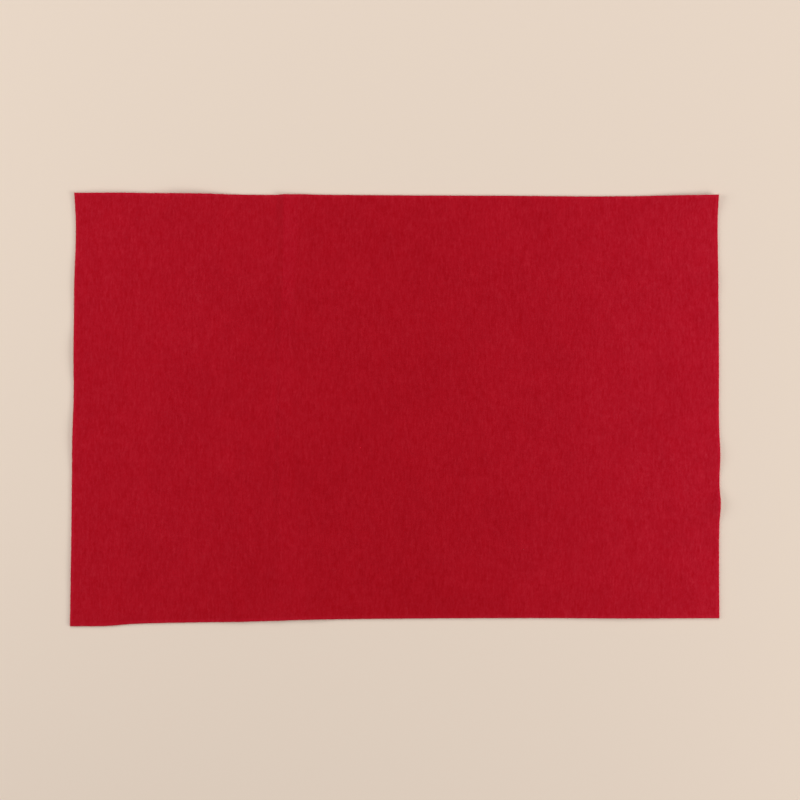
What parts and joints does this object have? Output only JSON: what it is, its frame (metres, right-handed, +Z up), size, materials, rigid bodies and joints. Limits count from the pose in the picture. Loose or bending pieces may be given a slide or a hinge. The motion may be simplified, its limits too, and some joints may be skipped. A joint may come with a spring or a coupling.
{
  "type": "felt sheet",
  "caption": "Flat rectangular sheet of red craft felt, cut by hand, with one low fold line across it and slightly curled edges.",
  "frame": {"origin": "under the middle of the sheet's bounding box, on the surface that the sheet lies on", "axes": "+X along the sheet's long side, +Y across it towards the edge where the fold line stands highest, +Z up out of the sheet"},
  "size_m": [0.4527, 0.3018, 0.0049],
  "materials": {
    "red_felt": "matt non-woven felt with short surface fibres"
  },
  "bodies": {
    "root": {"felt_sheet": "red_felt"}
  },
  "joints": []
}
